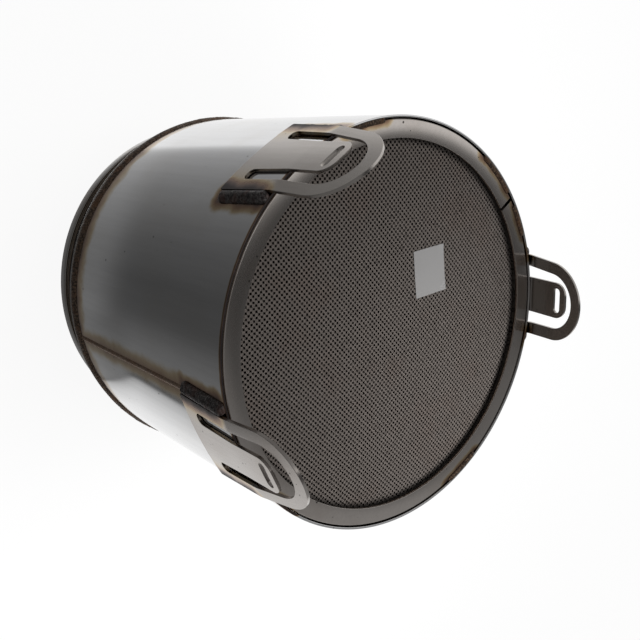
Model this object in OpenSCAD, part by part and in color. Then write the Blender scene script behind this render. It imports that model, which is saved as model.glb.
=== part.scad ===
/* [Filter brick] */
// Diameter of the ceramic brick
brick_d = 254; // [200:1:330]
// Length of the ceramic brick
brick_len = 203.2; // [150:0.1:320]
// Pitch of the modelled cells, coarser than the real 1.8 mm
cell_pitch = 9.6; // [9:0.1:14]
// Wall between two modelled cells
cell_wall = 1.8; // [1:0.1:4]
// Solid plug that closes one end of every cell
plug_len = 12; // [6:1:30]
// Turn of the cell grid about the axis, in degrees
cell_turn = -2; // [-45:1:45]
// Solid skin between the outermost cells and the brick's rim
brick_skin = 6; // [4:0.5:12]

/* [Mat and seals] */
// Thickness of the pressed support mat
mat_t = 6.4; // [3:0.1:12]
// Clearance on each side of the mat
mat_gap = 0.05; // [0.02:0.01:0.2]
// Distance from each end of the brick to the mat's end
mat_inset = 4; // [2:0.5:15]
// Thickness of the rear wire mesh seal
rear_seal_h = 2.05; // [1.2:0.05:6]
// Thickness of the front wire mesh seal
front_seal_h = 3.2; // [1.2:0.05:6]
// Distance from the edge of a ring's bore to its wire mesh seal
seal_setback = 0.9; // [0.3:0.1:1.5]

/* [Shell] */
// Thickness of the shell's sheet
shell_wall = 1.5; // [1:0.1:3]
// Width of the lengthwise seam bead
seam_w = 3.8; // [2:0.1:6]
// Height of the seam bead above the shell
seam_h = 0.7; // [0.3:0.1:1.5]
// Angle of the seam about the axis
seam_angle = 188; // [170:1:188]
// Gap between the seam bead's end and the tab behind which it stops
seam_stop = 3; // [1:0.5:10]

/* [Rear collar] */
// Distance from the rear end to the back of the collar's flange
neck_len = 40; // [20:1:80]
// Thickness of the collar's sheet
collar_sheet = 2.25; // [1.5:0.05:4]
// How far the collar's bore reaches inside the brick's rim
collar_overlap = 3.25; // [2:0.25:12]
// Length of the sheet folded back to make the rear lip
hem_len = 9.5; // [6:0.5:16]
// How far the flange stands out past the shell
rim_proud = 1.25; // [0.5:0.05:4]
// Width along the shell of the weld against the flange
collar_weld_w = 8; // [4:0.5:12]
// Height of that weld above the shell
collar_weld_h = 2; // [1.3:0.1:3]
// Part of that weld's width that the flange cuts off
collar_weld_bite = 1.5; // [0.5:0.1:3]

/* [Front ring] */
// How far the ring's bore reaches inside the brick's rim
ring_overlap = 5.9; // [3:0.1:15]
// Thickness of the ring's sheet, and radius of its rounded outer edge
ring_t = 2.5; // [1.5:0.1:4]
// Depth of the ring's skirt below its plate
ring_skirt = 6.5; // [3:0.5:6.5]
// Clearance between the ring and the shell
ring_gap = 0.8; // [0.3:0.1:0.9]
// Depth of the ring's face below the shell's edge
ring_inset = 0.8; // [0.3:0.1:3]
// Width of the split in the ring
split_w = 2.5; // [1:0.1:6]
// Angle of the split about the axis
split_angle = 33.5; // [20:0.5:60]
// Radius of the stitch weld beads
stitch_r = 1.8; // [1.2:0.1:2.5]
// Clearance of the stitch beads inside the gap between ring and shell
stitch_seat = 0.05; // [0.02:0.01:0.1]

/* [Pull tabs] */
// Width of a tab at its round end
tab_w = 57; // [50:1:76]
// Taper of each long edge towards the round end, in degrees
tab_taper = 3.5; // [1:0.5:5]
// Radius to which the tab plates are curved, softer than the shell
tab_bow_r = 270; // [200:10:600]
// Thickness of the tab plate
tab_t = 2; // [1.5:0.1:4]
// Reach of a tab past the shell's front edge
tab_front = 52.5; // [45:0.5:80]
// Length of a tab on the shell, behind the front edge
tab_back = 46; // [40:1:80]
// Width of the rounded end, and of the two arms where they meet it
tab_arm = 8.5; // [6:0.5:12]
// Width of the slot beside the tongue, where it meets the rounded end
tab_gap = 7; // [5:0.5:9]
// Gap between the tongue's tip and the rounded end
tip_gap = 9.5; // [5:0.5:12]
// Distance from the tab's back edge to the slot
slot_margin = 13; // [8:1:20]
// Inward lean of the arms past the shell, in degrees
arm_lean = 7; // [4:0.5:10]
// Inward lean of the tongue past the shell, in degrees
tongue_lean = 0.5; // [0:0.5:3]
// How much further the first tab is bent in than the others, in degrees
first_lean = 10; // [0:0.5:12]
// Gap between the shell's edge and the bends of the arms and the tongue
bend_gap = 1; // [0.5:0.5:5]
// Length of the hole across the tongue
hole_len = 18; // [12:0.5:20]
// Width of the hole across the tongue
hole_w = 5.5; // [5:0.5:8]
// Distance from the tongue's tip to the hole's middle
hole_setback = 8; // [6:0.5:14]
// Corner radius of the tongue's tip
tongue_corner = 9; // [3:0.5:10]
// Corner radius at the back of the slot
slot_corner = 3.5; // [1:0.5:4]
// Clearance between a tab and the shell at the line where they meet
tab_seat = 0.05; // [0.02:0.01:0.2]
// Radius of the beads along the tabs' long edges
tab_weld_r = 4.8; // [4:0.1:5.5]
// Distance from a tab's long edge to the middle of its bead
weld_out = 1.5; // [0.5:0.1:2.5]
// Depth of that middle below the shell's face
weld_sink = 0.5; // [0:0.1:1]

/* [Label] */
// Width of the paper label
label_w = 28; // [15:1:50]
// Height of the paper label
label_h = 32; // [15:1:50]
// Thickness of the paper label
label_t = 0.2; // [0.1:0.05:0.5]
// Place of the label's middle along X
label_x = 34.5; // [-60:0.5:60]
// Place of the label's middle along Y
label_y = 32.5; // [-60:0.5:60]
// Turn of the label, in degrees
label_turn = 4; // [-45:1:45]

/* [Hidden] */
$fn = 96;
// Segments of the large cylinders that beads are cut to
shell_fn = 720;
eps = 0.01;

// Radii, from the brick outwards
brick_r = brick_d / 2;
mat_ir = brick_r + mat_gap;
mat_or = mat_ir + mat_t;
shell_ir = mat_or + mat_gap;
shell_r = shell_ir + shell_wall;
neck_ir = brick_r - collar_overlap;
neck_r = neck_ir + collar_sheet;
lip_r = neck_r + collar_sheet;
rim_r = shell_r + rim_proud;
ring_ir = brick_r - ring_overlap;
ring_or = shell_ir - ring_gap;

// Heights, from the rear end to the front edge
flange_z = neck_len + collar_sheet;
brick_z0 = flange_z + rear_seal_h;
brick_z1 = brick_z0 + brick_len;
ring_z0 = brick_z1 + front_seal_h;
ring_z1 = ring_z0 + ring_t;
front_z = ring_z1 + ring_inset;

// Stitch welds, each from one angle to another
STITCHES = [[36, 52], [20, 31], [291, 304], [218, 224], [94, 107]];
// Directions of the three tabs, spaced unevenly so that the filter fits one way round
TABS = [0, 122, 202];

// Tab outline, measured across the tab and from the shell's front edge
tab_half = tab_w / 2;
slot_half = tab_half - tab_arm;
tongue_half = slot_half - tab_gap;
end_y = tab_front - tab_half;
slot_y0 = slot_margin - tab_back;
tongue_y1 = end_y + slot_half - tip_gap;
hole_y = tongue_y1 - hole_setback;

// Points on an arc about a middle, from one angle to another
function arc_points(mid, r, a0, a1, n) =
    [for (k = [0:n]) [mid[0] + r * cos(a0 + (a1 - a0) * k / n), mid[1] + r * sin(a0 + (a1 - a0) * k / n)]];
// Round end of an outline, between its two tapered edges
function end_points(half) = arc_points([0, end_y], half, tab_taper, 180 - tab_taper, 40);
// Place across of a tapered edge that runs into the round end
function edge_x(half, y) = (half - (y - end_y) * sin(tab_taper)) / cos(tab_taper);
tab_mid = edge_x(tab_half, -tab_back / 2);
bow_x = shell_r + tab_seat - tab_bow_r;
weld_x = sqrt(pow(shell_r, 2) - pow(tab_mid + weld_out, 2)) - weld_sink;

// Radius of a circle whose cap has a given width and height
function cap_r(width, height) = (pow(width / 2, 2) + pow(height, 2)) / (2 * height);
seam_bead_r = cap_r(seam_w, seam_h);
collar_bead_r = cap_r(collar_weld_w + collar_weld_bite, collar_weld_h);
seam_z1 = front_z - tab_back - seam_stop;

// Cells that fit inside the brick's skin
cell_open = cell_pitch - cell_wall;
cell_limit = brick_r - brick_skin - cell_open * sqrt(2) / 2;
cell_n = ceil(cell_limit / cell_pitch);

STEEL = "silver";
WELD = "saddlebrown";

// Plain tube from z0 to z1
module tube(inner_r, outer_r, z0, z1) {
    translate([0, 0, z0]) difference() {
        cylinder(r = outer_r, h = z1 - z0);
        translate([0, 0, -eps]) cylinder(r = inner_r, h = z1 - z0 + 2 * eps);
    }
}

module outer_shell() {
    color(STEEL) tube(shell_ir, shell_r, flange_z, front_z);
}

// Low bead along the shell, between the rear weld and the third tab
module shell_seam_weld() {
    z0 = flange_z + collar_weld_w;
    color(WELD) rotate([0, 0, seam_angle]) translate([shell_r, 0, z0]) linear_extrude(seam_z1 - z0)
        intersection() {
            translate([seam_h - seam_bead_r, 0]) circle(r = seam_bead_r);
            translate([0, -seam_w / 2]) square([seam_h, seam_w]);
        }
}

// Section of the collar: hemmed lip, neck, and a flange turned out past the shell
module collar_section() {
    fold_r = collar_sheet;
    translate([neck_ir, fold_r]) square([collar_sheet, flange_z - fold_r]);
    translate([neck_ir, neck_len]) square([rim_r - neck_ir - collar_sheet / 2, collar_sheet]);
    translate([rim_r - collar_sheet / 2, neck_len + collar_sheet / 2]) circle(d = collar_sheet);
    translate([neck_r, fold_r]) square([collar_sheet, hem_len - fold_r]);
    translate([neck_ir + fold_r / 2, 0]) square([2 * collar_sheet - fold_r, fold_r]);
    for (r = [neck_ir + fold_r / 2, lip_r - fold_r / 2]) translate([r, fold_r / 2]) circle(d = fold_r);
    translate([neck_ir, fold_r / 2]) square([2 * collar_sheet, fold_r]);
}

module rear_collar() {
    color("gray") rotate_extrude() collar_section();
}

// Convex bead that fills the corner between the shell and the flange
module rear_collar_weld() {
    bead_z = flange_z + (collar_weld_w - collar_weld_bite) / 2;
    color(WELD) rotate_extrude() intersection() {
        translate([shell_r, flange_z]) square(collar_weld_w);
        translate([shell_r + collar_weld_h - collar_bead_r, bead_z]) circle(r = collar_bead_r);
    }
}

// Section of the pressed ring: a plate with a round outer edge, and a skirt down the shell's inside.
// It can be drawn larger by a clearance.
module ring_section(room = 0) {
    translate([ring_ir, ring_z0]) square([ring_or - ring_t - ring_ir, ring_t + room]);
    translate([ring_or - ring_t, ring_z0 - ring_skirt]) square([ring_t + room, ring_skirt]);
    translate([ring_or - ring_t, ring_z0]) intersection() {
        circle(r = ring_t + room);
        square(2 * ring_t);
    }
}

module front_ring() {
    color("lightgray") difference() {
        rotate_extrude() ring_section();
        rotate([0, 0, split_angle]) translate([0, -split_w / 2, ring_z0 - ring_skirt - eps])
            cube([shell_r, split_w, ring_skirt + ring_t + 2 * eps]);
    }
}

// Short bead between the ring's round edge and the shell's edge, reaching down into the gap between them
module ring_weld(stitch) {
    color(WELD) rotate([0, 0, stitch[0]]) rotate_extrude(angle = stitch[1] - stitch[0]) difference() {
        translate([shell_ir - ring_gap, ring_z1]) circle(r = stitch_r);
        ring_section(stitch_seat);
        translate([shell_ir - stitch_seat, ring_z0]) square([shell_wall + stitch_r, front_z - ring_z0]);
    }
}

// Frame of a tab: the tapered plate's outline, with the slot and the tongue's place cut out
module frame_shape() {
    back_x = edge_x(tab_half, -tab_back);
    corner_y = slot_y0 + slot_corner;
    corner_x = edge_x(slot_half - slot_corner, corner_y);
    difference() {
        polygon(concat([[-back_x, -tab_back], [back_x, -tab_back]], end_points(tab_half)));
        polygon(concat(
            arc_points([-corner_x, corner_y], slot_corner, 180 - tab_taper, 270, 8),
            arc_points([corner_x, corner_y], slot_corner, 270, 360 + tab_taper, 8),
            end_points(slot_half)
        ));
    }
}

// Tongue with the hole across it, wider towards its root
module tongue_shape() {
    root_y = slot_y0 - slot_corner;
    root_x = tongue_half - root_y * tan(tab_taper);
    tip_x = tongue_half - tongue_corner;
    tip_y = tongue_y1 - tongue_corner;
    hole_x = (hole_len - hole_w) / 2;
    difference() {
        polygon(concat(
            [[-tongue_half, 0], [-root_x, root_y], [root_x, root_y], [tongue_half, 0]],
            arc_points([tip_x, tip_y], tongue_corner, 0, 90, 12),
            arc_points([-tip_x, tip_y], tongue_corner, 90, 180, 12)
        ));
        polygon(concat(
            arc_points([hole_x, hole_y], hole_w / 2, -90, 90, 12),
            arc_points([-hole_x, hole_y], hole_w / 2, 90, 270, 12)
        ));
    }
}

// Curved sheet that stands on the shell and leans inwards past its edge, cut to an outline
module curved_plate(lean) {
    over = bend_gap;
    y1 = tab_front + over;
    fall = (y1 - bend_gap) * tan(lean);
    intersection() {
        translate([bow_x, 0, front_z]) rotate_extrude($fn = 2 * $fn) translate([tab_bow_r, 0])
            polygon([[0, -tab_back - over], [tab_t, -tab_back - over], [tab_t, bend_gap], [tab_t - fall, y1],
                [-fall, y1], [0, bend_gap]]);
        translate([shell_r - tab_half, 0, front_z]) rotate([90, 0, 90]) linear_extrude(tab_w) children();
    }
}

// Stamped plate: past the shell's edge the arms and the tongue lean in by different angles
module pull_tab(direction, extra) {
    color("gainsboro") rotate([0, 0, direction]) {
        curved_plate(arm_lean + extra) frame_shape();
        curved_plate(tongue_lean + extra) tongue_shape();
    }
}

// Bead along one long edge of a tab, from the edge down to the round shell
module tab_weld(direction, side) {
    cut = 4 * tab_weld_r;
    color(WELD) rotate([0, 0, direction]) difference() {
        translate([weld_x, side * tab_mid, front_z - tab_back / 2]) rotate([side * tab_taper, 0, 0])
            difference() {
                translate([0, side * weld_out, 0]) cylinder(r = tab_weld_r, h = tab_back - 1, center = true);
                translate([-cut / 2, side > 0 ? -cut : 0, -tab_back]) cube([cut, cut, 2 * tab_back]);
            }
        cylinder(r = shell_r, h = front_z + eps, $fn = shell_fn);
    }
}

// Square cells: every other one is open at the front and plugged at the rear, the rest the other way round
module filter_brick() {
    color("tan") difference() {
        translate([0, 0, brick_z0]) cylinder(r = brick_r, h = brick_len);
        rotate([0, 0, cell_turn]) for (i = [-cell_n:cell_n], j = [-cell_n:cell_n])
            if (norm([i, j]) * cell_pitch <= cell_limit) {
                front = (i + j) % 2 == 0;
                z0 = front ? brick_z0 + plug_len : brick_z0 - eps;
                translate([i * cell_pitch - cell_open / 2, j * cell_pitch - cell_open / 2, z0])
                    cube([cell_open, cell_open, brick_len - plug_len + eps]);
            }
    }
}

module support_mat() {
    color("white") tube(mat_ir, mat_or, brick_z0 + mat_inset, brick_z1 - mat_inset);
}

module front_mesh_seal() {
    color("dimgray") tube(ring_ir + seal_setback, brick_r, brick_z1, ring_z0);
}

module rear_mesh_seal() {
    color("dimgray") tube(neck_ir + seal_setback, brick_r, flange_z, brick_z0);
}

module paper_label() {
    color("white") translate([label_x, label_y, brick_z1]) rotate([0, 0, label_turn])
        translate([-label_w / 2, -label_h / 2, 0]) cube([label_w, label_h, label_t]);
}

outer_shell();
shell_seam_weld();
rear_collar();
rear_collar_weld();
front_ring();
ring_weld(STITCHES[0]);  // ring_weld_1
ring_weld(STITCHES[1]);  // ring_weld_2
ring_weld(STITCHES[2]);  // ring_weld_3
ring_weld(STITCHES[3]);  // ring_weld_4
ring_weld(STITCHES[4]);  // ring_weld_5
pull_tab(TABS[0], first_lean);  // pull_tab_1
pull_tab(TABS[1], 0);  // pull_tab_2
pull_tab(TABS[2], 0);  // pull_tab_3
tab_weld(TABS[0], -1);  // tab_1_left_weld
tab_weld(TABS[0], 1);  // tab_1_right_weld
tab_weld(TABS[1], -1);  // tab_2_left_weld
tab_weld(TABS[1], 1);  // tab_2_right_weld
tab_weld(TABS[2], -1);  // tab_3_left_weld
tab_weld(TABS[2], 1);  // tab_3_right_weld
filter_brick();
support_mat();
front_mesh_seal();
rear_mesh_seal();
paper_label();
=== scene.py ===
"""Looks of a diesel particulate filter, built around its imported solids.

Sizes are in millimetres in the part's own frame: +Z runs along the axis from the rear lip to the front
edge, and +X points at the first pull tab. Meshes are scaled to metres as they are made.
"""

import logging
import math
from collections.abc import Callable, Iterable, Sequence
from dataclasses import dataclass, field
from enum import Enum
from functools import partial

import bmesh
import bpy
from mathutils import Matrix, Vector


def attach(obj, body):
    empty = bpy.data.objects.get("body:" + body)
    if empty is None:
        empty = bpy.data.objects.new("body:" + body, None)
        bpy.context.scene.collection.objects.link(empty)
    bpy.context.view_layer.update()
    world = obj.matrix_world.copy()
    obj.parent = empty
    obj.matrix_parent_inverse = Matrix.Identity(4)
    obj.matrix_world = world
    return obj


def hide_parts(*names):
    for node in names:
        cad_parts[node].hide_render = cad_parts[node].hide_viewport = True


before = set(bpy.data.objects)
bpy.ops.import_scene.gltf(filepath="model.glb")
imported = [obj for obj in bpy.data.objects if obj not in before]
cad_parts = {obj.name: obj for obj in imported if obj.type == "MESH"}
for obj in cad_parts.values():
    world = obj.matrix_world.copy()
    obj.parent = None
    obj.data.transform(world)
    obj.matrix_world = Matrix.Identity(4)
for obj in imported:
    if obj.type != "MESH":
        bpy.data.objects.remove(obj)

Point = tuple[float, float]
Triple = tuple[float, float, float]
Sleeve = tuple[float, float, float, float]
Material, Mesh, Node = bpy.types.Material, bpy.types.Mesh, bpy.types.Node
Piece, Socket, Tree = bpy.types.Object, bpy.types.NodeSocket, bpy.types.NodeTree
NUMBER, COLOUR, VECTOR = "NodeSocketFloat", "NodeSocketColor", "NodeSocketVector"
GEOMETRY, MATERIAL = "NodeSocketGeometry", "NodeSocketMaterial"

LOG = logging.getLogger("filter")
MM = 0.001
UP = Vector((0.0, 0.0, 1.0))

# Longer than the part, for lines that have no end on it
FAR = 1000.0

# Sizes that several sub-assemblies share, with angles in degrees
SHELL_R = 135.0
FLANGE_Z = 42.25
FRONT_Z = 254.0
SEAM_ANGLE = 188.0
TAB_BACK = 46.0
TAB_EDGE = 31.4
TAB_DIRECTIONS = (0.0, 122.0, 202.0)
TAB_LEANS = (10.0, 0.0, 0.0)
THIN_SIDES = (0.0, -1.0, 1.0)
STITCHES = ((36.0, 52.0), (20.0, 31.0), (291.0, 304.0), (218.0, 224.0), (94.0, 107.0))


class Slot(Enum):
    """Names of the material slots that go with the pieces."""

    SHELL = "shell_steel"
    COLLAR = "collar_steel"
    RING = "ring_steel"
    TAB = "tab_steel"
    WELD = "weld"
    BRICK = "brick"
    MAT = "mat"
    WIRE = "wire_mesh"
    LABEL = "label"


class End(Enum):
    """The two end faces of the brick, by the direction that they look along the axis."""

    FRONT = 1
    REAR = -1


class Graph:
    """Adds nodes to a tree and joins their sockets."""

    def __init__(self, tree: Tree) -> None:
        """Starts from an empty tree."""
        self.tree = tree
        tree.nodes.clear()

    def feed(self, socket: Socket, value: object) -> None:
        """Links another socket into a socket, or sets its plain value.

        Args:
            socket: The input.
            value: Another node's output, or a plain value.
        """
        if isinstance(value, Socket):
            self.tree.links.new(value, socket)
        else:
            socket.default_value = value

    def add(self, kind: str, inputs: dict | None = None, **settings: object) -> Node:
        """Adds one node.

        Args:
            kind: The node's type name.
            inputs: Values or sockets by the input's name or number.
            settings: Attributes to set on the node.

        Returns:
            The new node.
        """
        node = self.tree.nodes.new(kind)
        for key, value in settings.items():
            setattr(node, key, value)
        for key, value in (inputs or {}).items():
            self.feed(node.inputs[key], value)
        return node

    def math(self, operation: str, *values: object, clamp: bool = False) -> Socket:
        """Adds a Math node, kept from 0 to 1 where clamp is set, and returns its result."""
        node = self.add("ShaderNodeMath", dict(enumerate(values)), operation=operation, use_clamp=clamp)
        return node.outputs[0]

    def about(self, value: object, factor: object) -> Socket:
        """Returns how far a value lies from one half, times a factor."""
        return self.math("MULTIPLY", self.math("SUBTRACT", value, 0.5), factor)

    def split(self, vector: object) -> list[Socket]:
        """Returns a vector's three parts."""
        return list(self.add("ShaderNodeSeparateXYZ", {0: vector}).outputs)

    def join(self, *parts: object) -> Socket:
        """Returns the vector made of up to three parts."""
        return self.add("ShaderNodeCombineXYZ", dict(enumerate(parts))).outputs[0]

    def length(self, *parts: object) -> Socket:
        """Returns the length of the vector made of up to three parts."""
        return self.add("ShaderNodeVectorMath", {0: self.join(*parts)}, operation="LENGTH").outputs["Value"]

    def scaled(self, vector: object, factors: object) -> Socket:
        """Returns a vector times another one, part by part."""
        return self.add("ShaderNodeVectorMath", {0: vector, 1: factors}, operation="MULTIPLY").outputs[0]

    def mix(self, factor: object, first: object, second: object, blend: str = "MIX") -> Socket:
        """Mixes two colours.

        Args:
            factor: Share of the second colour.
            first: Colour or socket.
            second: Colour or socket.
            blend: The node's blend type.

        Returns:
            The mixed colour's socket.
        """
        node = self.add("ShaderNodeMix", data_type="RGBA", blend_type=blend)
        sockets = {s.identifier: s for s in node.inputs}
        for key, value in (("Factor_Float", factor), ("A_Color", first), ("B_Color", second)):
            self.feed(sockets[key], (*value, 1.0) if isinstance(value, tuple) else value)
        return next(s for s in node.outputs if s.identifier == "Result_Color")

    def span(self, *ranges: object, to_low: float = 0.0, to_high: float = 1.0) -> Socket:
        """Maps a value, given with its low and high end, to another range with a smooth step."""
        inputs = dict(enumerate((*ranges, to_low, to_high)))
        return self.add("ShaderNodeMapRange", inputs, interpolation_type="SMOOTHSTEP").outputs[0]

    def ramp(self, factor: object, stops: Sequence[tuple[float, Triple]]) -> Socket:
        """Adds a colour ramp.

        Args:
            factor: Number or socket that picks the place on the ramp.
            stops: Places from 0 to 1 and their colours, in order.

        Returns:
            The colour's socket.
        """
        node = self.add("ShaderNodeValToRGB", {0: factor})
        elements = node.color_ramp.elements
        while len(elements) < len(stops):
            elements.new(1.0)
        for element, (place, colour) in zip(elements, stops):
            element.position = place
            element.color = (*colour, 1.0)
        return node.outputs["Color"]

    def noise(self, vector: object, scale: float, detail: float = 3.0, rough: float = 0.55) -> Socket:
        """Adds a noise texture and returns its value."""
        inputs = {"Vector": vector, "Scale": scale, "Detail": detail, "Roughness": rough}
        return self.add("ShaderNodeTexNoise", inputs).outputs[0]

    def place(self) -> Socket:
        """Returns the Object coordinates, which are the part's own frame in metres."""
        return self.add("ShaderNodeTexCoord").outputs["Object"]

    def group(self, tree: Tree, **values: object) -> dict[str, Socket]:
        """Places a node group with its inputs by name, and returns its outputs by name."""
        return dict(self.add("ShaderNodeGroup", values, node_tree=tree).outputs.items())

    def bump(self, height: Socket, strength: float, depth: float, **normal: Socket) -> Socket:
        """Adds a bump with a depth in millimetres, on top of another Normal where one is given."""
        inputs = {"Height": height, "Strength": strength, "Distance": depth * MM, **normal}
        return self.add("ShaderNodeBump", inputs).outputs[0]

    def surface(self, inputs: dict[str, object]) -> None:
        """Ends a material in a Principled shader."""
        shader = self.add("ShaderNodeBsdfPrincipled", inputs)
        self.add("ShaderNodeOutputMaterial", {"Surface": shader.outputs[0]})


def new_group(name: str, inputs: dict[str, str], outputs: dict[str, str],
              kind: str = "ShaderNodeTree") -> tuple[Graph, dict, dict]:
    """Makes an empty node group.

    Args:
        name: The group's name.
        inputs: Socket types by input name.
        outputs: Socket types by output name.
        kind: The tree's type.

    Returns:
        The group's graph, and its input and output sockets by name.
    """
    tree = bpy.data.node_groups.new(name, kind)
    for sockets, way in ((outputs, "OUTPUT"), (inputs, "INPUT")):
        for key, socket in sockets.items():
            tree.interface.new_socket(name=key, in_out=way, socket_type=socket)
    graph = Graph(tree)
    source, sink = graph.add("NodeGroupInput"), graph.add("NodeGroupOutput")
    return graph, {k: source.outputs[k] for k in inputs}, {k: sink.inputs[k] for k in outputs}


class SurfaceEffects:
    """Shader groups that several finishes share."""

    def __init__(self) -> None:
        """Builds each group once."""
        self.weld_heat = self._weld_heat()
        self.heat_tint = self._heat_tint()
        self.grain = self._grain()
        self.specks = self._specks()

    def _weld_heat(self) -> Tree:
        """Heat near a weld: 1 on its line, falling to 0 at its reach.

        Returns:
            The group. Angle turns the weld to +X, Offset and Half give its place and half width across,
            Start and End its ends along the axis, Radius its place from the axis where Radial is 1, and
            Around is 1 for a weld that runs all round.
        """
        names = ("Angle", "Offset", "Half", "Start", "End", "Radius", "Radial", "Around", "Reach", "Ragged")
        g, i, o = new_group("weld heat", dict.fromkeys(names, NUMBER), {"Heat": NUMBER})
        place, back = g.place(), g.math("MULTIPLY", i["Angle"], -1.0)
        turned = g.add("ShaderNodeVectorRotate", {"Vector": place, "Angle": back}, rotation_type="Z_AXIS")
        x, y, z = g.split(turned.outputs[0])
        side = g.math("SUBTRACT", g.math("ABSOLUTE", y), i["Offset"])
        across = g.math("MAXIMUM", g.math("SUBTRACT", g.math("ABSOLUTE", side), i["Half"]), 0.0)
        past = g.math("MAXIMUM", g.math("SUBTRACT", i["Start"], z), g.math("SUBTRACT", z, i["End"]))
        past = g.math("MAXIMUM", past, 0.0)
        out = g.math("MULTIPLY", g.math("SUBTRACT", g.length(x, y), i["Radius"]), i["Radial"])
        share = g.math("ADD", g.math("DIVIDE", g.length(across, past, out), i["Reach"]), i["Ragged"])
        heat = g.math("SUBTRACT", 1.0, share, clamp=True)
        near = g.math("MAXIMUM", g.math("GREATER_THAN", x, 0.0), i["Around"])
        g.feed(o["Heat"], g.math("MULTIPLY", heat, near))
        return g.tree

    def _heat_tint(self) -> Tree:
        """Oxide colours that heat leaves on steel: straw, brown, dull purple, then charcoal scale.

        Returns:
            The group, which puts out the colour and how far the scale dulls the steel.
        """
        g, i, o = new_group(
            "heat tint", {"Steel": COLOUR, "Heat": NUMBER}, {"Color": COLOUR, "Dull": NUMBER})
        # The same ramp also paints shade where a line of painted shade feeds Heat
        oxide = g.ramp(i["Heat"], (
            (0.0, (0.60, 0.55, 0.46)), (0.25, (0.45, 0.35, 0.22)), (0.45, (0.25, 0.155, 0.095)),
            (0.62, (0.13, 0.08, 0.06)), (0.8, (0.055, 0.042, 0.042)), (1.0, (0.022, 0.018, 0.016))))
        g.feed(o["Color"], g.mix(g.span(i["Heat"], 0.0, 0.3, to_high=0.96), i["Steel"], oxide))
        g.feed(o["Dull"], g.span(i["Heat"], 0.35, 0.9))
        return g.tree

    def _grain(self) -> Tree:
        """Rolling and brushing lines: noise drawn out along one axis, with broad smudges beside it.

        Returns:
            The group, which puts out Line and Smudge, both about 0.5 in the middle.
        """
        g, i, o = new_group("sheet grain", {"Stretch": VECTOR}, {"Line": NUMBER, "Smudge": NUMBER})
        place = g.place()
        g.feed(o["Line"], g.noise(g.scaled(place, i["Stretch"]), 1.0, 4.0, 0.6))
        g.feed(o["Smudge"], g.noise(place, 22.0, 3.0, 0.5))
        return g.tree

    def _specks(self) -> Tree:
        """Weld spatter and dirt as small round dots.

        Returns:
            The group. Scale sets the spacing, Size a dot's radius as a share of it, and Amount the share
            of places that have a dot.
        """
        g, i, o = new_group("specks", dict.fromkeys(("Scale", "Size", "Amount"), NUMBER), {"Mask": NUMBER})
        cells = g.add("ShaderNodeTexVoronoi", {"Vector": g.place(), "Scale": i["Scale"]})
        chance = g.add("ShaderNodeSeparateColor", {0: cells.outputs["Color"]}).outputs
        size = g.math("MULTIPLY", i["Size"], g.math("ADD", chance[1], 0.4))
        dot = g.math("LESS_THAN", cells.outputs["Distance"], size)
        g.feed(o["Mask"], g.math("MULTIPLY", dot, g.math("LESS_THAN", chance[0], i["Amount"])))
        return g.tree


@dataclass(frozen=True)
class WeldLine:
    """A weld whose heat has tinted the steel beside it, or a line of painted shade that darkens it alike.
    """

    reach: float
    angle: float = 0.0
    offset: float = 0.0
    half: float = 0.0
    start: float = -FAR
    end: float = FAR
    radius: float = 0.0
    radial: bool = False
    around: bool = False
    strength: float = 1.0

    def heat(self, g: Graph, effects: SurfaceEffects, ragged: Socket) -> Socket:
        """Places the weld's heat group in a material.

        Args:
            g: The material's graph.
            effects: The shared shader groups.
            ragged: Noise that frays the tint's edge.

        Returns:
            The heat's socket.
        """
        heat = g.group(
            effects.weld_heat, Angle=math.radians(self.angle), Offset=self.offset * MM, Half=self.half * MM,
            Start=self.start * MM, End=self.end * MM, Radius=self.radius * MM, Radial=float(self.radial),
            Around=float(self.around), Reach=self.reach * MM, Ragged=ragged)
        return g.math("MULTIPLY", heat["Heat"], self.strength)


@dataclass(frozen=True)
class Finish:
    """A look with a name of its own."""

    name: str

    def paint(self, g: Graph, effects: SurfaceEffects) -> None:
        """Lays the nodes of the look, in each finish's own way."""
        raise NotImplementedError

    def material(self, effects: SurfaceEffects) -> Material:
        """Builds the material.

        Args:
            effects: The shared shader groups.

        Returns:
            The material.
        """
        material = bpy.data.materials.new(self.name)
        material.use_nodes = True
        self.paint(Graph(material.node_tree), effects)
        return material


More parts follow.
